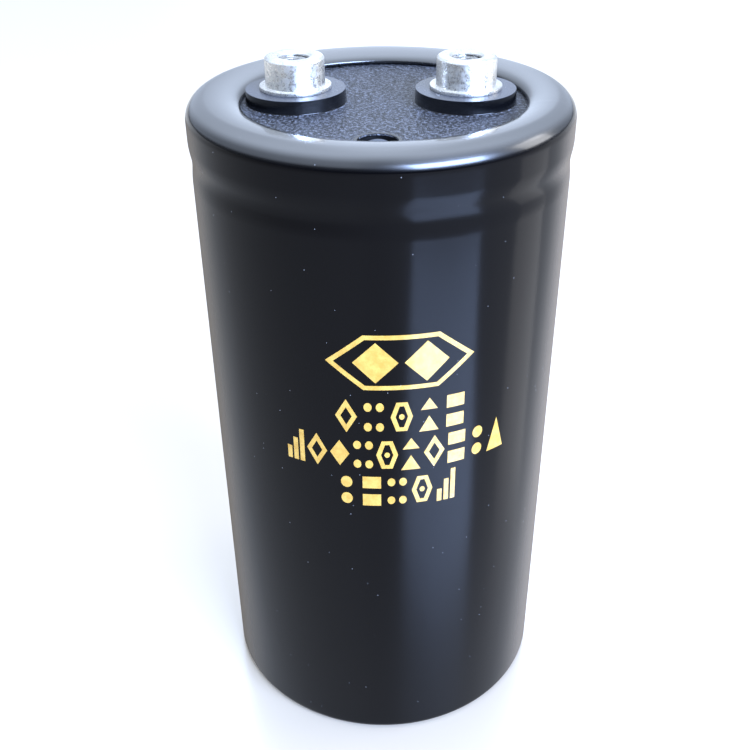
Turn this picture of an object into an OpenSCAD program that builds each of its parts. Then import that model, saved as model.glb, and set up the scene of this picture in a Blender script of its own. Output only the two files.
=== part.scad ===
// Screw-terminal electrolytic capacitor: an aluminium can in a shrunk sleeve, closed by a moulded lid.
// The origin is the centre of the base, +Z runs up the can, and both terminals lie on the X axis.

/* [Can] */
// Outside diameter of the aluminium can
can_d = 63.5; // [56:0.5:90]
// Height of the sleeved case, from the surface it stands on to the top of its rim
case_h = 121; // [90:1:220]
// Thickness of the can's drawn wall
can_wall = 0.9; // [0.7:0.05:1.1]
// Thickness of the can's base
can_base_t = 2.4; // [1.5:0.1:4]
// Rounding of the can's bottom edge
can_foot_r = 1; // [0.6:0.1:1.4]

/* [Rolled bead and rim] */
// Radius of the roller that forms the bead
bead_r = 2; // [1.5:0.1:2.4]
// Depth that the bead is rolled into the wall
bead_depth = 2.2; // [1.6:0.1:2.8]
// How far the collar above the bead swells out past the wall
collar_swell = 0.5; // [0.1:0.05:0.8]
// Outside rounding of the rim, over the sleeve
rim_r = 3.4; // [2.4:0.1:4]
// Width of the turned-in flange, over the sleeve, from the collar's face to the rim's opening
flange_w = 7.75; // [7:0.05:9]
// Outside rounding of the can's curled edge, where it turns down
curl_bend_r = 1.3; // [1.2:0.1:1.6]
// Gap between the sleeve's inner edge and the curl behind it
curl_back = 0.4; // [0.2:0.1:0.8]
// How far the curled edge bites down into the gasket
curl_bite = 1.6; // [1.4:0.1:2.4]
// Height of the gasket, squeezed between the lid's shoulder and the rim
gasket_h = 3.2; // [2.8:0.1:4]

/* [Sleeve] */
// Thickness of the shrunk sleeve
sleeve_t = 0.5; // [0.3:0.05:0.6]
// Outside rounding of the sleeve's inner edge, where it turns down into the opening
sleeve_lip_r = 1.2; // [0.8:0.1:1.5]
// Width of the sleeve's turned-in foot, measured under the can
sleeve_foot_w = 5; // [3:0.1:9]
// Depth of the shallow hollow that the sleeve makes where it bridges the bead
hollow_depth = 0.25; // [0.1:0.05:0.45]
// Height of that hollow, from edge to edge on the body's line
hollow_h = 4; // [3:0.1:5]
// Gap between the sleeve's inner edge and the lid's surface
sleeve_edge_gap = 0.2; // [0.1:0.05:0.3]
// Thickness of the insulating disc under the can
base_disc_t = 0.6; // [0.3:0.1:1]

/* [Lid] */
// Depth of the lid's surface below the top of the rim
lid_drop = 2.1; // [1.6:0.1:3]
// Thickness of the lid's shoulder, from the bead up to the gasket
shoulder_h = 3; // [2:0.1:5]
// Depth of the lid's lower plug, below the seat on the bead
lid_plug_h = 2.5; // [1.5:0.1:5]
// Diameter of the round bosses, at their tops
boss_d = 16.8; // [14:0.1:18]
// Height of the bosses above the lid's surface
boss_h = 2.35; // [1.5:0.05:4]
// Distance from the rim's opening to a boss
boss_inset = 2.35; // [1:0.05:4]
// How far each boss widens down to the lid, on the radius
boss_draft = 0.12; // [0:0.02:0.3]
// Radius of the small rounding where a boss meets the lid
boss_root_r = 0.4; // [0.2:0.1:0.8]

/* [Terminals] */
// Diameter of a terminal's post
post_d = 10; // [8:0.1:12]
// Height of a post above its seat
post_h = 4.7; // [3:0.1:8]
// Chamfer round the top of a post
post_chamfer = 0.35; // [0.1:0.05:0.8]
// Diameter of the seat that lies on the boss
seat_d = 12.1; // [11.5:0.1:14]
// Thickness of the seat
seat_t = 0.6; // [0.4:0.1:1.5]
// Thread size: the diameter of the hole at the roots of its thread
thread_d = 5; // [4:0.5:6]
// Depth of the threaded hole, from the top of the post
thread_depth = 9; // [6:0.5:10]
// Countersink at the mouth of the threaded hole, on the radius
mouth_chamfer = 0.4; // [0.1:0.05:0.8]
// Diameter of the shank that passes down through the lid
shank_d = 8; // [7.4:0.1:9]
// Diameter of the riveted head on the shank's tail
rivet_head_d = 11; // [10:0.1:12]
// Height of the riveted head
rivet_head_h = 1.3; // [0.8:0.1:2]
// Diameter of the washer under the riveted head
washer_d = 13; // [12:0.1:16]
// Thickness of that washer
washer_t = 1; // [0.6:0.1:1.6]

/* [Vent] */
// Distance from the edge of the lid's crown to the ring round the vent
vent_inset = 0.9; // [0.3:0.1:3]
// Diameter of the vent's counterbore in the lid
vent_well_d = 6.4; // [6:0.1:6.8]
// Width of the low raised ring round the counterbore
vent_ring_w = 0.7; // [0.4:0.1:0.9]
// Height of the raised ring
vent_ring_h = 0.2; // [0.1:0.05:0.4]
// Gap all round the rubber plug's head, in the counterbore
plug_gap = 0.8; // [0.3:0.1:1.2]
// Height of the head below its dome
plug_head_h = 0.7; // [0.3:0.1:1.5]
// Diameter of the plug's neck, in its hole through the lid
plug_neck_d = 3; // [2:0.1:3.4]
// Height of the dome on the plug's head
plug_dome_h = 0.9; // [0.4:0.1:1.4]
// Height of the barb that holds the plug below the lid
plug_barb_h = 1.6; // [1:0.1:2.4]
// How far the barb stands out past the hole
plug_barb_w = 0.5; // [0.2:0.1:0.8]

/* [Winding] */
// Gap between the roll and the can's wall, filled by the anchoring compound at the foot
roll_gap = 1.9; // [1.5:0.1:3]
// Space left between the top of the roll and the underside of the lid
head_space = 13; // [10:0.5:20]
// Diameter of the hole that the winding spindle leaves
spindle_d = 9; // [5:0.5:14]
// Thickness of the closing tape round the roll
tape_t = 0.2; // [0.1:0.05:0.3]
// Distance from the top of the roll down to the edge of the tape band
tape_inset = 18; // [5:1:30]
// Thickness of the insulating pad under the roll
base_pad_t = 1.2; // [0.6:0.1:3]
// Height of the anchoring compound above the can's floor
compound_h = 26; // [10:1:32]

/* [Connecting strips] */
// Number of strips on each foil
strips = 4; // [2:1:4]
// Width of a strip
strip_w = 11; // [9:0.1:13]
// Thickness of a strip
strip_t = 0.3; // [0.2:0.05:0.4]
// Gap between the clamp washer's edge and the nearest strip's rise
strip_clear = 1.2; // [0.5:0.1:2]
// Distance between one strip's rise and the next
strip_step = 3; // [2:0.1:3.4]
// Inside rounding of a strip's bend
strip_bend = 0.8; // [0.4:0.1:1]

/* [Hidden] */
$fn = 96;

// Close clearance of a shank or a neck in its hole, on the radius
fit = 0.05;
// Easy clearance of the lid inside the bead and the curl, on the radius
slip = 0.2;
// Included angle of the drill point at the bottom of the threaded hole
drill_point = 118;
// Extra length of a cutter past the face that it cuts
over = 0.5;

// The case, from the outside in
can_r = can_d / 2;
body_r = can_r + sleeve_t;
collar_r = body_r + collar_swell;
opening_r = collar_r - flange_w;
can_z = sleeve_t + base_disc_t;
floor_z = can_z + can_base_t;
can_top = case_h - sleeve_t;
bore_r = can_r - can_wall;
collar_bore_r = bore_r + collar_swell;
curl_r = opening_r + sleeve_t + curl_back;
curl_under = can_top - can_wall;

// Up from the bead: its ridge, the lid's shoulder on it and the gasket under the rim
ridge_r = bead_r + can_wall;
shoulder_z = curl_under - gasket_h;
lid_seat = shoulder_z - shoulder_h;
bead_z = lid_seat - ridge_r;
bead_axis_r = can_r + bead_r - bead_depth;
hollow_r = (pow(hollow_h / 2, 2) + pow(hollow_depth, 2)) / (2 * hollow_depth);
hollow_axis_r = body_r - hollow_depth + hollow_r;

// The lid and what stands on it
lid_z = case_h - lid_drop;
lid_under = lid_seat - lid_plug_h;
lid_crown_r = curl_r - slip;
terminal_x = opening_r - boss_inset - boss_d / 2;
boss_z = lid_z + boss_h;
post_z = boss_z + seat_t;
post_top = post_z + post_h;

// The vent, with the top of its plug level with the ring round it
vent_ring_r = vent_well_d / 2 + vent_ring_w;
vent_y = vent_inset + vent_ring_r - lid_crown_r;
vent_ring_z = lid_z + vent_ring_h;
vent_seat_z = vent_ring_z - plug_dome_h - plug_head_h;
vent_hole_r = plug_neck_d / 2 + fit;

// The stack under the lid, from the strips down to the riveted head
washer_z = lid_under - strips * strip_t;
rivet_z = washer_z - washer_t;

// The roll and its bed
roll_r = bore_r - roll_gap;
roll_z = floor_z + base_pad_t;
roll_top = lid_under - head_space;
compound_z = floor_z + compound_h;

// A rectangle of a revolved section, given by its two radii and its two heights
module band(r0, r1, z0, z1) {
    translate([r0, z0]) square([r1 - r0, z1 - z0]);
}

// A quarter of a ring in a revolved section: the bend of a wall t thick, round the point c.
// side is +1 or -1 in each direction, and names the quadrant that the bend fills
module bend(c, r, t, side) {
    translate(c) intersection() {
        difference() {
            circle(r);
            circle(r - t);
        }
        translate([min(side[0], 0) * r, min(side[1], 0) * r]) square(r);
    }
}

// Half-section of the case's upright side at a depth inside its outer face, solid to the axis,
// between two heights. A groove of radius groove_r bites it, from an axis at groove_axis
module side_section(depth, z0, z1, groove_axis, groove_r) {
    difference() {
        union() {
            band(0, body_r - depth, z0, bead_z);
            band(0, collar_r - depth, bead_z, z1);
        }
        translate([groove_axis, bead_z]) circle(groove_r);
    }
}

// Half-section of the wall between two of those sides, one wall thickness apart
module wall_section(depth, t, z0, z1, groove_axis, groove_r) {
    difference() {
        side_section(depth, z0, z1, groove_axis, groove_r);
        side_section(depth + t, z0 - over, z1 + over, groove_axis, groove_r + t);
    }
}

// Half-section of a wall's turned-in top, at a depth below the rim: outer bend, flat flange,
// an inner bend of radius lip_r that starts at the radius inner, and the edge below it
module rim_section(depth, t, inner, lip_r, edge_z) {
    top = case_h - depth;
    bend([collar_r - rim_r, case_h - rim_r], rim_r - depth, t, [1, 1]);
    band(inner + lip_r, collar_r - rim_r, top - t, top);
    bend([inner + lip_r, top - lip_r], lip_r, t, [-1, 1]);
    band(inner, inner + t, edge_z, top - lip_r);
}

// Shrunk tube with its top turned in over the rim and its foot turned in under the base
module sleeve() {
    foot_r = can_foot_r + sleeve_t;
    color([0.05, 0.05, 0.06]) rotate_extrude() {
        band(can_r - sleeve_foot_w, body_r - foot_r, 0, sleeve_t);
        bend([body_r - foot_r, foot_r], foot_r, sleeve_t, [1, -1]);
        wall_section(0, sleeve_t, foot_r, case_h - rim_r, hollow_axis_r, hollow_r);
        rim_section(0, sleeve_t, opening_r, sleeve_lip_r, lid_z + sleeve_edge_gap);
    }
}

// Thin disc that closes the sleeve's foot under the can
module base_disc() {
    color([0.12, 0.12, 0.13]) translate([0, 0, sleeve_t]) cylinder(h = base_disc_t, r = can_r - can_foot_r);
}

// Drawn cup with a bead rolled into its wall and its rim curled in over the gasket
module can() {
    color([0.82, 0.83, 0.85]) rotate_extrude() {
        band(0, can_r - can_foot_r, can_z, floor_z);
        bend([can_r - can_foot_r, can_z + can_foot_r], can_foot_r, can_foot_r, [1, -1]);
        band(can_r - can_foot_r, can_r, can_z + can_foot_r, floor_z);
        difference() {
            wall_section(sleeve_t, can_wall, floor_z, case_h - rim_r, bead_axis_r, bead_r);
            translate([hollow_axis_r, bead_z]) circle(hollow_r + sleeve_t);
        }
        rim_section(sleeve_t, can_wall, curl_r, curl_bend_r, curl_under - curl_bite);
    }
}

// One boss of the lid, widening to a small rounding at its root
module boss() {
    side_r = boss_d / 2 + boss_draft;
    root_r = side_r + boss_root_r;
    root_z = boss_root_r - fit;
    translate([0, 0, lid_z]) rotate_extrude() difference() {
        polygon([[0, -over], [root_r, -over], [root_r, root_z], [side_r, root_z],
                 [boss_d / 2, boss_h], [0, boss_h]]);
        translate([root_r, root_z]) circle(boss_root_r);
    }
}

// Moulded lid: crown in the rim's opening, shoulder under the gasket, plug inside the bead
module lid() {
    color([0.16, 0.16, 0.18]) difference() {
        union() {
            rotate_extrude() {
                band(0, bead_axis_r - ridge_r - slip, lid_under, lid_seat);
                band(0, collar_bore_r - fit, lid_seat, shoulder_z);
                band(0, lid_crown_r, shoulder_z, lid_z);
            }
            for (side = [-1, 1]) translate([side * terminal_x, 0, 0]) boss();
            translate([0, vent_y, lid_z - over]) cylinder(h = over, r = vent_ring_r);
            translate([0, vent_y, lid_z])
                cylinder(h = vent_ring_h, r1 = vent_ring_r, r2 = vent_ring_r - vent_ring_h);
        }
        for (side = [-1, 1]) translate([side * terminal_x, 0, lid_under - over])
            cylinder(h = boss_z - lid_under + 2 * over, r = shank_d / 2 + fit);
        translate([0, vent_y, vent_seat_z]) cylinder(h = lid_drop, d = vent_well_d);
        translate([0, vent_y, lid_under - over])
            cylinder(h = vent_seat_z - lid_under + 2 * over, r = vent_hole_r);
    }
}

// What a rounding of radius r takes off a top corner of a section, at the point corner.
// side is +1 for an outer corner and -1 for one that faces the axis
module corner_cut(corner, r, side) {
    translate([corner[0] - side * r, corner[1] - r]) difference() {
        translate([min(side, 0) * (r + over), 0]) square(r + over);
        circle(r);
    }
}

// Rubber ring between the lid's shoulder and the curled rim, notched by the curl's edge
module lid_gasket() {
    notch_r = curl_r + can_wall;
    color([0.1, 0.1, 0.1]) rotate_extrude() difference() {
        band(lid_crown_r, collar_bore_r, shoulder_z, curl_under);
        band(lid_crown_r - over, notch_r, curl_under - curl_bite, curl_under + over);
        corner_cut([collar_bore_r, curl_under], rim_r - sleeve_t - can_wall, 1);
        corner_cut([notch_r, curl_under], curl_bend_r - can_wall, -1);
    }
}

// Turned terminal: post with a threaded hole, a seat that lies on the boss, a shank and a riveted tail
module terminal() {
    drill_tip = thread_d / 2 / tan(drill_point / 2);
    color([0.86, 0.87, 0.89]) difference() {
        union() {
            translate([0, 0, post_top - post_chamfer])
                cylinder(h = post_chamfer, r1 = post_d / 2, r2 = post_d / 2 - post_chamfer);
            translate([0, 0, post_z]) cylinder(h = post_h - post_chamfer, d = post_d);
            translate([0, 0, boss_z]) cylinder(h = seat_t, d = seat_d);
            translate([0, 0, rivet_z]) cylinder(h = boss_z - rivet_z, d = shank_d);
            translate([0, 0, rivet_z - rivet_head_h])
                cylinder(h = rivet_head_h, d1 = rivet_head_d - rivet_head_h, d2 = rivet_head_d);
        }
        translate([0, 0, post_top - thread_depth]) cylinder(h = thread_depth + over, d = thread_d);
        translate([0, 0, post_top - thread_depth - drill_tip])
            cylinder(h = drill_tip, r1 = 0, r2 = thread_d / 2);
        translate([0, 0, post_top - mouth_chamfer])
            cylinder(h = mouth_chamfer + over, r1 = thread_d / 2, r2 = thread_d / 2 + mouth_chamfer + over);
    }
}

module terminal_left() { translate([-terminal_x, 0, 0]) terminal(); }

module terminal_right() { translate([terminal_x, 0, 0]) terminal(); }

// Washer that spreads the riveted head's grip over the strips
module clamp_washer() {
    color([0.75, 0.76, 0.78]) translate([0, 0, rivet_z]) difference() {
        cylinder(h = washer_t, d = washer_d);
        translate([0, 0, -over]) cylinder(h = washer_t + 2 * over, r = shank_d / 2 + fit);
    }
}

module clamp_washer_left() { translate([-terminal_x, 0, 0]) clamp_washer(); }

module clamp_washer_right() { translate([terminal_x, 0, 0]) clamp_washer(); }

// Rubber pressure plug: a low dome in the counterbore, a neck in the hole and a barb below the lid
module vent_plug() {
    head_r = vent_well_d / 2 - plug_gap;
    dome_r = (pow(head_r, 2) + pow(plug_dome_h, 2)) / (2 * plug_dome_h);
    color([0.62, 0.63, 0.64]) translate([0, vent_y, 0]) union() {
        translate([0, 0, vent_seat_z]) cylinder(h = plug_head_h, r = head_r);
        translate([0, 0, vent_ring_z - plug_dome_h]) intersection() {
            cylinder(h = plug_dome_h + over, r = head_r + over);
            translate([0, 0, plug_dome_h - dome_r]) sphere(dome_r);
        }
        translate([0, 0, lid_under]) cylinder(h = vent_seat_z - lid_under, d = plug_neck_d);
        translate([0, 0, lid_under - plug_barb_h])
            cylinder(h = plug_barb_h, r1 = vent_hole_r - plug_barb_w, r2 = vent_hole_r + plug_barb_w);
    }
}

// Roll of foils and paper, with the hole of the winding spindle
module winding() {
    color([0.8, 0.75, 0.62]) translate([0, 0, roll_z]) difference() {
        cylinder(h = roll_top - roll_z, r = roll_r);
        translate([0, 0, -over]) cylinder(h = roll_top - roll_z + 2 * over, d = spindle_d);
    }
}

// Tape band that keeps the roll closed, above the compound
module winding_tape() {
    tape_h = roll_top - tape_inset - compound_z;
    color([0.85, 0.7, 0.3]) translate([0, 0, compound_z]) difference() {
        cylinder(h = tape_h, r = roll_r + tape_t);
        translate([0, 0, -over]) cylinder(h = tape_h + 2 * over, r = roll_r);
    }
}

// Insulating pad on the can's floor
module base_pad() {
    color([0.7, 0.6, 0.42]) translate([0, 0, floor_z]) cylinder(h = base_pad_t, r = roll_r);
}

// Cast ring that holds the foot of the roll in the can
module anchor_compound() {
    color([0.09, 0.08, 0.07]) translate([0, 0, floor_z]) difference() {
        cylinder(h = compound_h, r = bore_r);
        translate([0, 0, -over]) cylinder(h = compound_h + 2 * over, r = roll_r);
    }
}

// One strip: it rises from the roll, bends over and lies on its terminal's shank, under the lid.
// The strips of a stack nest, and the lowest, number 1, rises nearest the terminal
module strip(number) {
    under = washer_z + (number - 1) * strip_t;
    rise = washer_d / 2 + strip_clear + strip_t + (number - 1) * strip_step;
    bend_r = strip_bend + strip_t;
    difference() {
        union() {
            rotate([90, 0, 90]) linear_extrude(strip_w, center = true) {
                band(rise - strip_t, rise, roll_top, under + strip_t - bend_r);
                bend([rise - bend_r, under + strip_t - bend_r], bend_r, strip_t, [1, 1]);
                band(0, rise - bend_r, under, under + strip_t);
            }
            translate([0, 0, under]) cylinder(h = strip_t, d = strip_w);
        }
        translate([0, 0, under - over]) cylinder(h = strip_t + 2 * over, r = shank_d / 2 + fit);
    }
}

module anode_strip(number) {
    color([0.8, 0.8, 0.82]) translate([-terminal_x, 0, 0]) strip(number);
}

module cathode_strip(number) {
    color([0.7, 0.71, 0.73]) translate([terminal_x, 0, 0]) strip(number);
}

sleeve();
base_disc();
can();
lid();
lid_gasket();
terminal_left();
terminal_right();
clamp_washer_left();
clamp_washer_right();
vent_plug();
winding();
winding_tape();
base_pad();
anchor_compound();
for (number = [1 : strips]) {
    anode_strip(number);
    cathode_strip(number);
}
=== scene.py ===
import math

import bpy
from mathutils import Matrix, Vector, noise


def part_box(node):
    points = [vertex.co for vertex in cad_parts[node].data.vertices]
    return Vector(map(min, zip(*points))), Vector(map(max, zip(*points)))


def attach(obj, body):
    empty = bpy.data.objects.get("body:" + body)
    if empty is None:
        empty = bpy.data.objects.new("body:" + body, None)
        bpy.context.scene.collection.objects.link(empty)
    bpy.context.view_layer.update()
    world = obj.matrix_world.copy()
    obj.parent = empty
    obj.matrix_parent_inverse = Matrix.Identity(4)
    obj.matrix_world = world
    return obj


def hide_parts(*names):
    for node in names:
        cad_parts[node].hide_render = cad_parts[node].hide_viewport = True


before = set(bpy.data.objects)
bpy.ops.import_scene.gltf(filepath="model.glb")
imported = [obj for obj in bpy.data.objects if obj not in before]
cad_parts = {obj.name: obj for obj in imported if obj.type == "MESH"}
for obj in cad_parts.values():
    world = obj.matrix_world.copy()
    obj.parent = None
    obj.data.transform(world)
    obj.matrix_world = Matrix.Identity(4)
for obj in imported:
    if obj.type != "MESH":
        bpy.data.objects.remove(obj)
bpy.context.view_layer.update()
MM = 0.001

# The case: the sleeve's outer faces, and the shallow hollow over the can's bead
CASE_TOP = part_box("sleeve")[1].z
COLLAR_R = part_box("sleeve")[1].x
BODY_R = COLLAR_R - 0.5 * MM
BODY_SWELL = 0.3 * MM
RIM_R = 3.4 * MM
OPENING_R = COLLAR_R - 8.7 * MM
OPENING_SHIFT = Vector((0.55 * MM, -0.25 * MM))
CROWN_W = COLLAR_R - RIM_R - OPENING_R
CROWN_DROP = 1.5 * MM
RIM_STEPS = 26
FOOT_R = 1.5 * MM
FOOT_LIP_R = 26.75 * MM
HOLLOW_FOOT = 104 * MM
HOLLOW_Z = 110.5 * MM
HOLLOW_R = 8.125 * MM
HOLLOW_DEPTH = 0.25 * MM
FILM = 0.3 * MM
CASE_STEPS = 256
CREASE_TURN = math.radians(-14.2)

# The print on the sleeve's front, with places as arcs to the right of the camera's side
INK_T = 0.06 * MM
INK_PROUD = 0.03 * MM
MARK_H = 6.5 * MM
MARK_W = 3.3 * MM
STROKE = 0.75 * MM
EMBLEM_STROKE = 0.8 * MM
# Arcs at which the flat print is cut, so that it can follow the wall
PRINT_CUTS = [(k + 0.37) * 0.8 * MM for k in range(-22, 32)]
# Each row's drop below the case's top, its two ends and its marks
PRINT_ROWS = [
    (44.5 * MM, -7.5 * MM, 15.3 * MM, ["diamond", "four", "cell", "glass", "stack"]),
    (52.1 * MM, -16.5 * MM, 23.5 * MM,
     ["steps", "diamond", "lozenge", "four", "cell", "glass", "diamond", "stack", "dots", "peak"]),
    (59.8 * MM, -7.6 * MM, 14.0 * MM, ["dots", "stack", "four", "cell", "steps"]),
]

# The lid and the terminals on it
LID_Z = CASE_TOP - 2.1 * MM
BOSS_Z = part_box("lid")[1].z
TERMINAL_X = (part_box("terminal_right")[0].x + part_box("terminal_right")[1].x) / 2
POST_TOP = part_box("terminal_right")[1].z
TAIL_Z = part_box("terminal_right")[0].z
POST_R = 5 * MM
POST_BEVEL = 0.35 * MM
SEAT_R = 6.05 * MM
SEAT_T = 0.6 * MM
SHANK_R = 4 * MM
TAIL_R = 5.5 * MM
TAIL_TAPER = 0.65 * MM
TAIL_H = 1.3 * MM
POST_STEPS = 96

# The thread in each terminal's hole
BORE_R = 2.5 * MM
BORE_BEVEL = 0.4 * MM
BORE_DEPTH = 9 * MM
BORE_STEPS = 86
DRILL_TIP = 1.5 * MM
THREAD_PITCH = 0.8 * MM
THREAD_H = 0.43 * MM
THREAD_START = 0.4 * MM
THREAD_END = 8.9 * MM

# The camera, as fitted to the photo's outline: angles in degrees, turned left, looking down and rolled
CAMERA_PLACE = (0.00377, -0.16670, 0.16735)
CAMERA_LENS = 47.64
CAMERA_TURN = 1.7779
CAMERA_DOWN = 31.62
CAMERA_ROLL = -0.5701


# Shader nodes written as expressions

class Field:
    """One output socket of a material's nodes. Operators on it add Math nodes."""

    def __init__(self, tree, socket=None):
        self.tree = tree
        self.socket = socket

    def node(self, kind, settings=None, inputs=None, output=0):
        """Adds a node, sets its settings, then the values or links of its sockets, and gives one output."""
        made = self.tree.nodes.new(kind)
        for key, value in (settings or {}).items():
            setattr(made, key, value)
        for key, value in (inputs or {}).items():
            if isinstance(value, Field):
                self.tree.links.new(value.socket, made.inputs[key])
            else:
                made.inputs[key].default_value = value
        return Field(self.tree, made.outputs[output])

    def math(self, operation, *terms):
        return self.node("ShaderNodeMath", {"operation": operation}, dict(enumerate(terms)))

    def __add__(self, other):
        return self.math("ADD", self, other)

    def __radd__(self, other):
        return self.math("ADD", other, self)

    def __sub__(self, other):
        return self.math("SUBTRACT", self, other)

    def __rsub__(self, other):
        return self.math("SUBTRACT", other, self)

    def __mul__(self, other):
        return self.math("MULTIPLY", self, other)

    def __rmul__(self, other):
        return self.math("MULTIPLY", other, self)

    def __pow__(self, other):
        return self.math("POWER", self, other)

    def __abs__(self):
        return self.math("ABSOLUTE", self)

    def step(self, low, high):
        """0 below low, 1 above high, and a smooth rise between them."""
        ranged = {"interpolation_type": "SMOOTHSTEP"}
        return self.node("ShaderNodeMapRange", ranged, {0: self, 1: low, 2: high, 3: 0.0, 4: 1.0})


def split(vector):
    """The three parts of a vector."""
    made = vector.node("ShaderNodeSeparateXYZ", {}, {0: vector}).socket.node
    return [Field(vector.tree, output) for output in made.outputs]


def rgba(colour):
    """A colour written in sRGB from 0 to 255, as the linear values that a socket holds."""
    linear = [((c / 255 + 0.055) / 1.055) ** 2.4 if c > 10 else c / 255 / 12.92 for c in colour]
    return (*linear, 1.0)


class Material:
    """A material with one Principled shader, and the patterns that its recipe draws on."""

    def __init__(self, name, colour, **constants):
        self.made = bpy.data.materials.new(name)
        self.made.use_nodes = True
        self.made.diffuse_color = rgba(colour)
        self.tree = self.made.node_tree
        self.shader = self.tree.nodes["Principled BSDF"]
        self.start = Field(self.tree)
        self.place = self.start.node("ShaderNodeTexCoord", output="Object")
        self.set(Base_Color=rgba(colour), **constants)

    def set(self, **sockets):
        """Sets the shader's sockets, whose names are written with _ for each space."""
        for key, value in sockets.items():
            socket = self.shader.inputs[key.replace("_", " ")]
            if isinstance(value, Field):
                self.tree.links.new(value.socket, socket)
            else:
                socket.default_value = value

    def paint_over(self, factor, colour):
        """Paints a matt colour over the shader, by a factor; the sleeve uses it for a painted reflection."""
        matt = self.start.node("ShaderNodeBsdfDiffuse", {}, {"Color": rgba(colour)})
        under = Field(self.tree, self.shader.outputs[0])
        mixed = self.start.node("ShaderNodeMixShader", {}, {0: factor, 1: under, 2: matt})
        self.tree.links.new(mixed.socket, self.tree.nodes["Material Output"].inputs["Surface"])

    def noise(self, size, detail=2.0, rough=0.5, place=None):
        """Noise from 0 to 1 whose lumps are about size metres across."""
        inputs = {"Vector": place or self.place, "Scale": 1 / size, "Detail": detail, "Roughness": rough}
        return self.start.node("ShaderNodeTexNoise", {}, inputs)

    def cells(self, size, output):
        """Of random points about size metres apart, the Distance to the nearest, or its Color."""
        return self.start.node("ShaderNodeTexVoronoi", {}, {"Vector": self.place, "Scale": 1 / size}, output)

    def stretched(self, scale):
        """The place on the piece, with a scale for each axis: a pattern grows as its scale falls."""
        return self.start.node("ShaderNodeMapping", {}, {"Vector": self.place, "Scale": scale})

    def axes(self):
        """The three coordinates of the place on the piece."""
        return split(self.place)

    def around(self):
        """Angle and radius about the case's axis."""
        x, y, z = self.axes()
        return self.start.math("ARCTAN2", y, x), (x * x + y * y) ** 0.5

    def mix(self, factor, a, b):
        """Colour a where factor is 0 and colour b where it is 1."""
        a, b = [c if isinstance(c, Field) else rgba(c) for c in (a, b)]
        return self.start.node("ShaderNodeMix", {"data_type": "RGBA"}, {0: factor, 6: a, 7: b}, 2)

    def bump(self, height, distance):
        """Normal of a surface that rises by distance metres where height is 1."""
        inputs = {"Height": height, "Distance": distance, "Strength": 1.0}
        return self.start.node("ShaderNodeBump", {}, inputs)

    def specks(self, apart, radius, share):
        """1 in small round specks that lie about apart metres from each other, in a share of the places."""
        near = self.cells(apart, "Distance") * apart
        chosen = split(self.cells(apart, "Color"))[0]
        return (1 - near.step(radius * 0.7, radius)) * chosen.step(1 - share, 1.01 - share)


# Materials

def flange_crease(x, y, z):
    """1 along the short crease that runs out across the sleeve's flange, on the right."""
    along = x * math.cos(CREASE_TURN) + y * math.sin(CREASE_TURN)
    across = y * math.cos(CREASE_TURN) - x * math.sin(CREASE_TURN)
    line = 1 - abs(across).step(0.05 * MM, 0.2 * MM)
    return line * along.step(OPENING_R, OPENING_R + 2 * MM) * z.step(CASE_TOP - MM, CASE_TOP - 0.5 * MM)


def sleeve_pvc():
    """Black shrink film: a deep gloss, brighter where it is tight over the rim, with specks of dust, and a
    warm brown reflection painted on its edges where they turn away from view.
    """
    m = Material("sleeve_pvc", (3, 3, 5), Specular_IOR_Level=0.11, Coat_IOR=3.0, Coat_Roughness=0.24)
    x, y, z = m.axes()
    rim = z.step(CASE_TOP - 2.9 * MM, CASE_TOP - 2.1 * MM)
    tight = 0.3 + 0.7 * z.step(CASE_TOP - 1.7 * MM, CASE_TOP - 0.5 * MM)
    haze = m.noise(6 * MM, 4.0, 0.6)
    dust = m.specks(2 * MM, 0.09 * MM, 0.6)
    m.set(Base_Color=m.mix(dust * 0.5, (3, 3, 5), (190, 192, 198)))
    m.set(Roughness=0.05 + 0.05 * haze + 0.4 * dust, Coat_Weight=rim * tight)
    wave = m.noise(9 * MM, 2.0, 0.45, m.stretched((1, 1, 0.35)))
    peel = m.noise(0.9 * MM, 2.0, 0.5)
    m.set(Normal=m.bump(wave + 0.03 * peel + 0.3 * flange_crease(x, y, z), 0.04 * MM))
    # Painted reflection: a matt warm brown laid over the film where it turns away at grazing angles, off the
    # rim, standing in for the reflection of warm surroundings.
    painted_edge_reflection = m.start.node("ShaderNodeLayerWeight", {}, {"Blend": 0.5}, "Facing").step(0.6, 0.98)
    m.paint_over(0.9 * painted_edge_reflection * (1 - rim), (106, 94, 80))
    return m.made


def lid_moulding():
    """Moulded lid: sand-textured crown, satin boss tops and bright smooth sides. Light bluish specks on the
    up-facing crown are partly the moulding's grain and partly a painted sheen, the boss tops are painted
    lighter as a sheen, and the vent's counterbore is kept plain black as painted shade.
    """
    m = Material("lid_moulding", (34, 35, 43), Specular_IOR_Level=0.5)
    x, y, z = m.axes()
    raised = z.step(LID_Z + 0.1 * MM, LID_Z + 0.2 * MM)
    top = z.step(BOSS_Z - 0.06 * MM, BOSS_Z - 0.02 * MM)
    grain = m.noise(0.5 * MM, 3.0, 0.65)
    fine = m.noise(0.16 * MM, 1.0, 0.5)
    crown = z.step(LID_Z - 0.25 * MM, LID_Z - 0.08 * MM) * (1 - raised)
    # Painted sheen: light bluish specks laid only on the flat, up-facing crown, partly grain and partly the
    # overhead light's sheen; the counterbore below stays dark as painted shade.
    grain_and_sheen_specks = (grain * 0.6 + fine * 0.4).step(0.49, 0.58)
    # The boss tops are also painted lighter, a painted sheen.
    m.set(Base_Color=m.mix(grain_and_sheen_specks * crown + 0.35 * top, (9, 10, 13), (122, 126, 138)))
    m.set(Roughness=0.38 - 0.26 * raised + 0.12 * top + 0.05 * grain)
    m.set(Normal=m.bump((grain + 0.4 * fine) * (0.06 + 0.94 * crown), 0.3 * MM))
    return m.made


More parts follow.
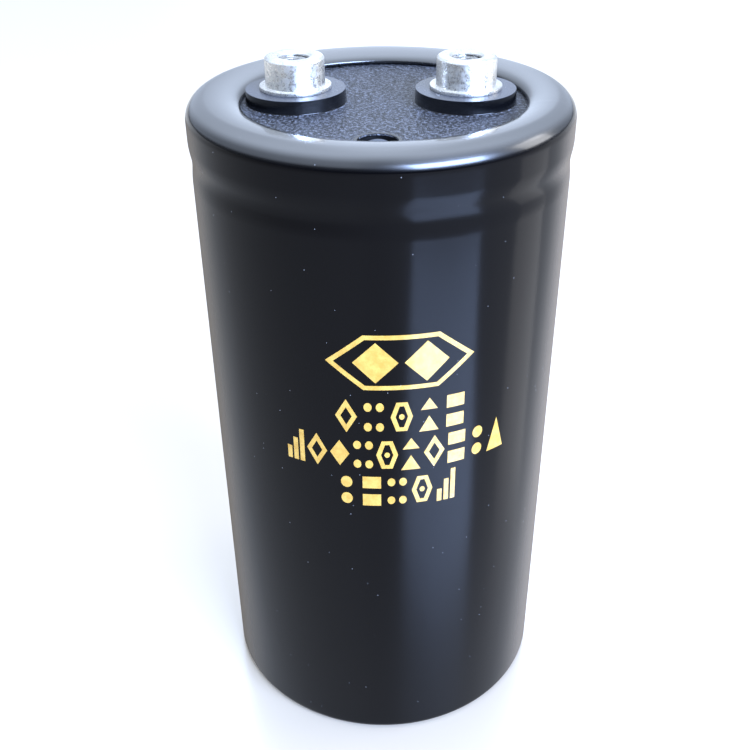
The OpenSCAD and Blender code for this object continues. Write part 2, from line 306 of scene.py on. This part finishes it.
def print_ink():
    """Screen-printed ink: a gold that is thin in places, with pinholes."""
    m = Material("print_ink", (205, 163, 66), Specular_IOR_Level=0.7)
    cover = m.noise(1.6 * MM, 4.0, 0.65)
    pinhole = m.specks(0.8 * MM, 0.05 * MM, 0.5)
    gold = m.mix(cover.step(0.3, 0.7), (190, 146, 54), (210, 172, 80))
    m.set(Base_Color=m.mix(pinhole, gold, (60, 46, 22)), Roughness=0.16 + 0.12 * cover)
    m.set(Normal=m.bump(m.noise(0.3 * MM, 2.0), 0.008 * MM))
    return m.made


def terminal_aluminium():
    """Turned aluminium, tumbled and scuffed: fine rings from the tool under a mottled bloom, with the inside
    of the threaded hole painted darker as shade.
    """
    m = Material("terminal_aluminium", (226, 229, 234), Metallic=1.0)
    x, y, z = m.axes()
    mottle = m.noise(0.75 * MM, 4.0, 0.7)
    dull = mottle.step(0.42, 0.62)
    pits = m.specks(0.7 * MM, 0.07 * MM, 0.5)
    turned = m.start.math("SINE", z * (math.tau / (0.16 * MM)))
    from_axis = abs(x) - TERMINAL_X
    # Painted shade: the inside of the threaded hole is darkened in the base colour.
    bore = 1 - ((from_axis * from_axis + y * y) ** 0.5).step(BORE_R - 0.05 * MM, BORE_R + 0.1 * MM)
    grain = m.noise(0.3 * MM, 3.0, 0.7).step(0.47, 0.66)
    worn = m.noise(2.6 * MM, 2.0, 0.5).step(0.36, 0.6)
    grime_and_bore_shade = dull * 0.2 + grain * worn * 0.6 + pits * 0.25 + 0.6 * bore
    m.set(Base_Color=m.mix(grime_and_bore_shade, (250, 248, 242), (112, 110, 108)))
    m.set(Roughness=0.24 + 0.2 * dull + 0.12 * grain)
    m.set(Normal=m.bump(mottle * 0.6 + 0.06 * turned - 0.5 * pits + 0.15 * grain, 0.05 * MM))
    return m.made


def aluminium(name, colour, roughness):
    """Bare aluminium sheet with a fine scuff."""
    m = Material(name, colour, Metallic=1.0, Roughness=roughness)
    scuff = m.noise(0.6 * MM, 4.0, 0.65)
    m.set(Roughness=roughness + 0.25 * scuff.step(0.4, 0.7), Normal=m.bump(scuff, 0.02 * MM))
    return m.made


def foil_roll():
    """The winding: ends that show the edges of foil and paper, turn on turn."""
    m = Material("foil_and_paper", (186, 176, 150), Specular_IOR_Level=0.35)
    turn, radius = m.around()
    layer = 0.5 + 0.5 * m.start.math("SINE", radius * (math.tau / (0.34 * MM)) + turn)
    fibre = m.noise(0.5 * MM, 4.0, 0.65)
    m.set(Base_Color=m.mix(0.6 * layer + 0.4 * fibre, (204, 190, 152), (158, 160, 162)))
    m.set(Roughness=0.5 + 0.25 * fibre, Normal=m.bump(layer + 0.3 * fibre, 0.03 * MM))
    return m.made


def drawn_can():
    """Impact-extruded aluminium: a dull grey with fine marks drawn up the wall."""
    m = Material("can_aluminium", (206, 208, 212), Metallic=1.0)
    drawn = m.noise(0.5 * MM, 3.0, 0.6, m.stretched((1, 1, 0.03)))
    bloom = m.noise(5 * MM, 4.0, 0.6)
    m.set(Base_Color=m.mix(bloom.step(0.3, 0.7), (214, 216, 220), (190, 192, 197)))
    m.set(Roughness=0.3 + 0.2 * drawn, Normal=m.bump(drawn + 0.5 * bloom, 0.02 * MM))
    return m.made


def plain(name, colour, roughness):
    """Rubber, board, tape or compound: one colour with a fine grain."""
    m = Material(name, colour, Roughness=roughness)
    grain = m.noise(MM, 4.0, 0.6)
    shade = m.mix(grain, [c * 0.85 for c in colour], [min(255, c * 1.12) for c in colour])
    m.set(Base_Color=shade, Normal=m.bump(grain, 0.03 * MM))
    return m.made


# Modelled pieces

def start_piece(name, add, **options):
    """Starts a piece from a primitive, placed in its mesh, and opens it for modelling."""
    bpy.ops.object.select_all(action="DESELECT")
    add(**options)
    made = bpy.context.object
    made.name = made.data.name = name
    bpy.ops.object.transform_apply(location=True, rotation=True, scale=True)
    bpy.ops.object.mode_set(mode="EDIT")
    bpy.ops.mesh.select_all(action="SELECT")
    return made


def close_piece(angle):
    """Merges what meets, turns the faces outwards and shades the piece smooth up to an angle."""
    bpy.ops.mesh.select_all(action="SELECT")
    bpy.ops.mesh.remove_doubles(threshold=0.001 * MM)
    bpy.ops.mesh.normals_make_consistent(inside=False)
    bpy.ops.object.mode_set(mode="OBJECT")
    bpy.ops.object.shade_smooth_by_angle(angle=math.radians(angle))


def dress(made, slot, material, *replaced):
    """Gives a finished piece its body and its material, and hides the CAD nodes that it stands for. The slot
    argument is not used.
    """
    made.data.materials.clear()
    made.data.materials.append(material)
    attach(made, "root")
    if replaced:
        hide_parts(*replaced)


def arc(centre, radius, start, end, steps):
    """Points of an arc in a section, between two angles in degrees."""
    turns = [math.radians(start + (end - start) * i / steps) for i in range(steps + 1)]
    return [(centre[0] + radius * math.cos(t), centre[1] + radius * math.sin(t)) for t in turns]


def spread(start, end, steps):
    """Evenly spaced values from start to end, without start."""
    return [start + (end - start) * i / steps for i in range(1, steps + 1)]


def eased(corners, radius):
    """An outline with each of its inner corners rounded to a small curve."""
    made = [corners[0]]
    for before, corner, after in zip(corners, corners[1:], corners[2:]):
        corner = Vector(corner)
        to_before, to_after = Vector(before) - corner, Vector(after) - corner
        reach = min(radius, to_before.length / 3, to_after.length / 3)
        a, b = corner + to_before.normalized() * reach, corner + to_after.normalized() * reach
        made += [tuple(a), tuple((a + 2 * corner + b) / 4), tuple(b)]
    return made + [corners[-1]]


def turn_outline(outline, centre=(0, 0)):
    """Carries the ring that is open for modelling along an outline of radii and heights."""
    for (r0, z0), (r1, z1) in zip(outline, outline[1:]):
        bpy.ops.mesh.extrude_region_move(TRANSFORM_OT_translate={"value": (0, 0, z1 - z0)})
        scale = r1 / r0
        bpy.ops.transform.resize(value=(scale, scale, 1), center_override=(*centre, z1))


def shrink(azimuth, z):
    """How far the shrunk film sinks below its true surface at a place on it, in metres."""
    place = Vector((math.cos(azimuth), math.sin(azimuth), 0)) * 3.2 + Vector((0, 0, z / (26 * MM)))
    return 0.02 * MM * (1 + noise.noise(place))


def body_radius(z):
    """Radius of the film below the bead, which it leaves a little slack towards the top."""
    return BODY_R + BODY_SWELL * z / HOLLOW_Z


def pressed_radius(z):
    """Radius of the case's side at a height, with the hollow that the film makes over the bead."""
    wall = body_radius(z) if z < HOLLOW_Z else COLLAR_R
    off = abs(z - HOLLOW_Z)
    if off > HOLLOW_R:
        return wall
    return min(wall, body_radius(HOLLOW_Z) - HOLLOW_DEPTH + HOLLOW_R - math.sqrt(HOLLOW_R ** 2 - off ** 2))


def side_radius(z):
    """The same radius where the film rounds off its corners."""
    near = [pressed_radius(z + k * 0.35 * MM) for k in range(-3, 4)]
    return sum(near) / len(near)


def sleeve_outline():
    """The outer line of the sleeve's section, from its foot under the base up and over the rim."""
    shoulder_z = CASE_TOP - RIM_R
    foot = arc((BODY_R - FOOT_R, FOOT_R), FOOT_R, -90, 0, 8)
    wall = spread(FOOT_R, HOLLOW_FOOT, 48)
    hollow = spread(HOLLOW_FOOT, shoulder_z, 54)
    side = [(side_radius(z), z) for z in wall + hollow]
    rim = arc((COLLAR_R - RIM_R, shoulder_z), RIM_R, 0, 90, RIM_STEPS)[1:]
    crown = arc((0, 0), 1, 90, 180, RIM_STEPS)[1:]
    flange = [(OPENING_R + CROWN_W * (1 + u), CASE_TOP - CROWN_DROP * (1 - v)) for u, v in crown]
    return [(FOOT_LIP_R, 0)] + foot + side + rim + flange + [(OPENING_R, LID_Z + 0.2 * MM)]


def model_sleeve():
    """Film shrunk over the can: one wall, turned in over the rim and in under the base."""
    outline = sleeve_outline()
    made = start_piece("sleeve_film", bpy.ops.mesh.primitive_circle_add, vertices=CASE_STEPS,
                       radius=outline[0][0], location=(0, 0, outline[0][1]))
    turn_outline(outline)
    close_piece(60)
    for vertex in made.data.vertices:
        azimuth = math.atan2(vertex.co.y, vertex.co.x)
        radius = math.hypot(vertex.co.x, vertex.co.y)
        sink = shrink(azimuth, vertex.co.z)
        if vertex.co.z > CASE_TOP - RIM_R / 2:
            vertex.co.z -= sink
        if vertex.co.z > LID_Z:
            vertex.co.xy += OPENING_SHIFT * min(1, max(0, 1 - (radius - OPENING_R) / CROWN_W))
        if vertex.co.z > FOOT_R:
            vertex.co.xy *= 1 - sink / radius
    add_thickness(made, FILM)
    dress(made, "sleeve_pvc", finishes["sleeve"], "sleeve")


def add_thickness(made, thickness):
    """Gives a sheet its thickness, behind its face."""
    wall = made.modifiers.new("wall", "SOLIDIFY")
    wall.thickness = thickness
    wall.offset = -1
    wall.use_even_offset = True
    bpy.ops.object.modifier_apply(modifier=wall.name)


def thread_ridge(azimuth, z):
    """Height of the thread's ridge on the wall of its hole, 0 at the roots and 1 on the crest."""
    phase = (z / THREAD_PITCH - azimuth / math.tau) % 1
    ridge = min(1, max(0, 1.2 - 2.4 * abs(phase - 0.5)))
    from_mouth = POST_TOP - z
    fade_in = min(1, max(0, (from_mouth - THREAD_START) / (0.5 * MM)))
    fade_out = min(1, max(0, (THREAD_END - from_mouth) / (0.8 * MM)))
    return ridge * fade_in * fade_out


def model_terminal(side, x):
    """One turned terminal: riveted tail, shank, seat and post, with a thread cut in its hole."""
    centre = (x, 0)
    tail = [(TAIL_R - TAIL_TAPER, TAIL_Z), (TAIL_R, TAIL_Z + TAIL_H)]
    shank = [(SHANK_R, TAIL_Z + TAIL_H), (SHANK_R, BOSS_Z)]
    seat = [(SEAT_R, BOSS_Z), (SEAT_R, BOSS_Z + SEAT_T), (POST_R, BOSS_Z + SEAT_T)]
    post = [(POST_R, POST_TOP - POST_BEVEL), (POST_R - POST_BEVEL, POST_TOP)]
    mouth = [(BORE_R + BORE_BEVEL, POST_TOP), (BORE_R, POST_TOP - BORE_BEVEL)]
    corners = tail + shank + seat + post + mouth
    bore = [(BORE_R, z) for z in spread(POST_TOP - BORE_BEVEL, POST_TOP - BORE_DEPTH, BORE_STEPS)]
    drill_tip = (0.02 * MM, POST_TOP - BORE_DEPTH - DRILL_TIP)
    outline = eased(corners, 0.12 * MM) + bore + [drill_tip]
    made = start_piece(f"terminal_turned_{side}", bpy.ops.mesh.primitive_circle_add, vertices=POST_STEPS,
                       radius=outline[0][0], location=(x, 0, outline[0][1]))
    bpy.ops.mesh.edge_face_add()
    bpy.ops.mesh.inset(thickness=1.5 * MM)
    bpy.ops.mesh.select_all(action="DESELECT")
    bpy.ops.object.mode_set(mode="OBJECT")
    for vertex in made.data.vertices:
        vertex.select = math.hypot(vertex.co.x - x, vertex.co.y) > outline[0][0] - 0.1 * MM
    bpy.ops.object.mode_set(mode="EDIT")
    bpy.ops.mesh.select_mode(type="VERT")
    turn_outline(outline, centre)
    bpy.ops.mesh.merge(type="CENTER")
    close_piece(35)
    for vertex in made.data.vertices:
        away = Vector((vertex.co.x - x, vertex.co.y))
        if abs(away.length - BORE_R) < 0.001 * MM and vertex.co.z > POST_TOP - BORE_DEPTH:
            ridge = THREAD_H * thread_ridge(math.atan2(away.y, away.x), vertex.co.z)
            vertex.co.xy = Vector(centre) + away * (1 - ridge / BORE_R)
    dress(made, "terminal_aluminium", bright, f"terminal_{side}")


# Print

def add_shape(corners, u, v, width, height, stroke=0.0):
    """A flat shape in the print's layout: a disc or polygon, filled, or an outline of a stroke's width.
    Four corners make an upright rectangle and -4 a diamond, and 3 a triangle that stands on its base."""
    turn = {4: math.pi / 4, 6: math.pi / 2}.get(corners, 0.0)
    spread_u, spread_v = (math.sqrt(0.5), math.sqrt(0.5)) if corners == 4 else (1.0, 1.0)
    if corners == 3:
        spread_u, spread_v = math.sqrt(3) / 2, 0.75
        v -= height / 6
    made = start_piece("mark", bpy.ops.mesh.primitive_circle_add, vertices=abs(corners), radius=0.5 * MM,
                       fill_type="NGON", rotation=(0, 0, turn))
    scale = (width / MM / spread_u, height / MM / spread_v, 1)
    bpy.ops.transform.resize(value=scale, center_override=(0, 0, 0))
    bpy.ops.transform.translate(value=(u, v, 0))
    if stroke:
        bpy.ops.mesh.inset(thickness=stroke)
        bpy.ops.mesh.delete(type="FACE")
    bpy.ops.object.mode_set(mode="OBJECT")
    return made


def mark(kind, u, v):
    """One simple mark of the print, centred on a place. All kinds fill about as much of their cell."""
    w, h = MARK_W, MARK_H
    both = (-1, 1)
    rising = [(k, 0.7 + 0.3 * k) for k in (-1, 0, 1)]
    kinds = {
        "diamond": [(-4, u, v, w * 1.1, h, STROKE)],
        "lozenge": [(-4, u, v, w, h * 0.8)],
        "four": [(16, u + i * 0.3 * w, v + j * 0.3 * h, 0.4 * w, 0.26 * h) for i in both for j in both],
        "cell": [(6, u, v, w * 1.1, h, STROKE), (16, u, v, 0.9 * MM, 1.1 * MM)],
        "glass": [(3, u, v - 0.27 * h, w, 0.46 * h), (-3, u, v + 0.27 * h, w, 0.46 * h)],
        "stack": [(4, u, v + side * 0.29 * h, w * 0.95, h * 0.38) for side in both],
        "steps": [(4, u + k * 0.37 * w, v - (1 - tall) / 2 * h, 0.26 * w, tall * h) for k, tall in rising],
        "dots": [(20, u, v + side * 0.27 * h, 0.6 * w, 0.36 * h) for side in both],
        "peak": [(3, u, v, w * 1.1, h)],
    }
    return [add_shape(*shape) for shape in kinds[kind]]


def add_row(kinds, start, end, v):
    """A row of marks, spread evenly from one arc to another."""
    pitch = (end - start) / len(kinds)
    return [shape for i, kind in enumerate(kinds) for shape in mark(kind, start + (i + 0.5) * pitch, v)]


def add_emblem(u, v, width, height):
    """Two lozenges side by side in a long six-sided frame."""
    shapes = [add_shape(6, u, v, width, height, EMBLEM_STROKE)]
    for side in (-1, 1):
        shapes.append(add_shape(-4, u + side * 0.17 * width, v, 0.3 * width, 0.64 * height))
    return shapes


def model_print():
    """The gold print, laid out flat, cut into narrow strips and wrapped on the sleeve."""
    shapes = add_emblem(3.8 * MM, CASE_TOP - 34.2 * MM, 24.4 * MM, 11.6 * MM)
    for drop, left, right, kinds in PRINT_ROWS:
        shapes += add_row(kinds, left, right, CASE_TOP - drop)
    bpy.ops.object.select_all(action="DESELECT")
    for shape in shapes:
        shape.select_set(True)
    made = shapes[0]
    bpy.context.view_layer.objects.active = made
    bpy.ops.object.join()
    made.name = made.data.name = "sleeve_print"
    bpy.ops.object.mode_set(mode="EDIT")
    for cut in PRINT_CUTS:
        bpy.ops.mesh.select_all(action="SELECT")
        bpy.ops.mesh.bisect(plane_co=(cut, 0, 0), plane_no=(1, 0, 0))
    bpy.ops.object.mode_set(mode="OBJECT")
    for vertex in made.data.vertices:
        turn, z = vertex.co.x / BODY_R, vertex.co.y
        radius = body_radius(z) + INK_PROUD - shrink(turn - math.pi / 2, z)
        vertex.co = (radius * math.sin(turn), -radius * math.cos(turn), z)
    add_thickness(made, INK_T)
    dress(made, "print_ink", print_ink())


# Stage

def add_floor():
    """A wide satin table, pale all over, that mirrors the key light softly."""
    bpy.ops.object.select_all(action="DESELECT")
    bpy.ops.mesh.primitive_plane_add(size=6.0, location=(0, 0, 0))
    floor = bpy.context.object
    floor.name = "floor"
    m = Material("floor_satin", (236, 220, 197), IOR=3.4)
    m.set(Roughness=0.2 + 0.03 * m.noise(0.4, 2.0))
    floor.data.materials.append(m.made)


def add_softbox(name, place, target, size, radiance, colour):
    """A rectangular lamp at a place, facing a target, with the radiance that a reflection of it shows."""
    light = bpy.data.lights.new(name, "AREA")
    light.shape = "RECTANGLE"
    light.size, light.size_y = size
    light.energy = radiance * math.pi * size[0] * size[1]
    light.color = rgba(colour)[:3]
    lamp = bpy.data.objects.new(name, light)
    bpy.context.scene.collection.objects.link(lamp)
    lamp.location = place
    lamp.rotation_euler = (Vector(place) - Vector(target)).to_track_quat("Z", "Y").to_euler()


def round_the_part(azimuth, elevation, distance):
    """A place about the middle of the can, at an azimuth in degrees to the right of the camera's side."""
    a, e = math.radians(azimuth), math.radians(elevation)
    flat = distance * math.cos(e)
    return (flat * math.sin(a), -flat * math.cos(a), 0.05 + distance * math.sin(e))


def add_world(low, high, more):
    """A soft dome: bright, more so overhead and straight behind, and dim at the horizon in front."""
    world = bpy.data.worlds.new("studio")
    world.use_nodes = True
    tree = world.node_tree
    direction = Field(tree).node("ShaderNodeTexCoord", output="Generated")
    x, y, z = split(direction)
    lit = (z + 0.2 * y).step(0.12, 0.22)
    back = tree.nodes["Background"]
    back.inputs["Color"].default_value = rgba((216, 231, 255))
    aside = abs(x).step(0.03, 0.25)
    brighter = y * (1 - 1.5 * aside) + z.step(0.25, 0.9)
    tree.links.new((low + (high - low + more * brighter) * lit).socket, back.inputs["Strength"])
    bpy.context.scene.world = world


def add_camera():
    """The camera, where it shows the case as the photo does."""
    data = bpy.data.cameras.new("camera")
    data.sensor_width = 36.0
    data.lens = CAMERA_LENS
    data.clip_start = 0.01
    camera = bpy.data.objects.new("camera", data)
    bpy.context.scene.collection.objects.link(camera)
    turn = Matrix.Rotation(math.radians(CAMERA_TURN), 4, "Z")
    tilt = Matrix.Rotation(math.radians(90 - CAMERA_DOWN), 4, "X")
    roll = Matrix.Rotation(math.radians(CAMERA_ROLL), 4, "Z")
    camera.matrix_world = Matrix.Translation(CAMERA_PLACE) @ turn @ tilt @ roll
    bpy.context.scene.camera = camera


add_camera()
add_floor()
add_world(low=0.1, high=1.32, more=0.55)
add_softbox("key", round_the_part(40, 28, 1.1), target=(0, 0, 0.05), size=(0.8, 0.46), radiance=32,
            colour=(178, 204, 255))
add_softbox("side", round_the_part(100, 22, 1.2), target=(0, 0, 0.08), size=(0.5, 0.5), radiance=4.6,
            colour=(250, 249, 250))
bpy.context.scene.view_settings.view_transform = "Standard"

finishes = {
    "sleeve": sleeve_pvc(),
    "base_disc": plain("insulating_disc", (52, 52, 56), 0.5),
    "can": drawn_can(),
    "lid": lid_moulding(),
    "lid_gasket": plain("gasket_rubber", (26, 26, 27), 0.7),
    "vent_plug": plain("vent_rubber", (84, 88, 96), 0.6),
    "winding": foil_roll(),
    "winding_tape": plain("closing_tape", (206, 164, 62), 0.3),
    "base_pad": plain("pressboard", (160, 132, 90), 0.8),
    "anchor_compound": plain("cast_compound", (46, 42, 38), 0.4),
}
bright = terminal_aluminium()
strip = aluminium("strip_aluminium", (200, 200, 206), 0.35)
model_sleeve()
model_print()
model_terminal("left", -TERMINAL_X)
model_terminal("right", TERMINAL_X)
for name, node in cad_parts.items():
    made = finishes.get(name) or (strip if "strip" in name else bright)
    node.data.materials.clear()
    node.data.materials.append(made)
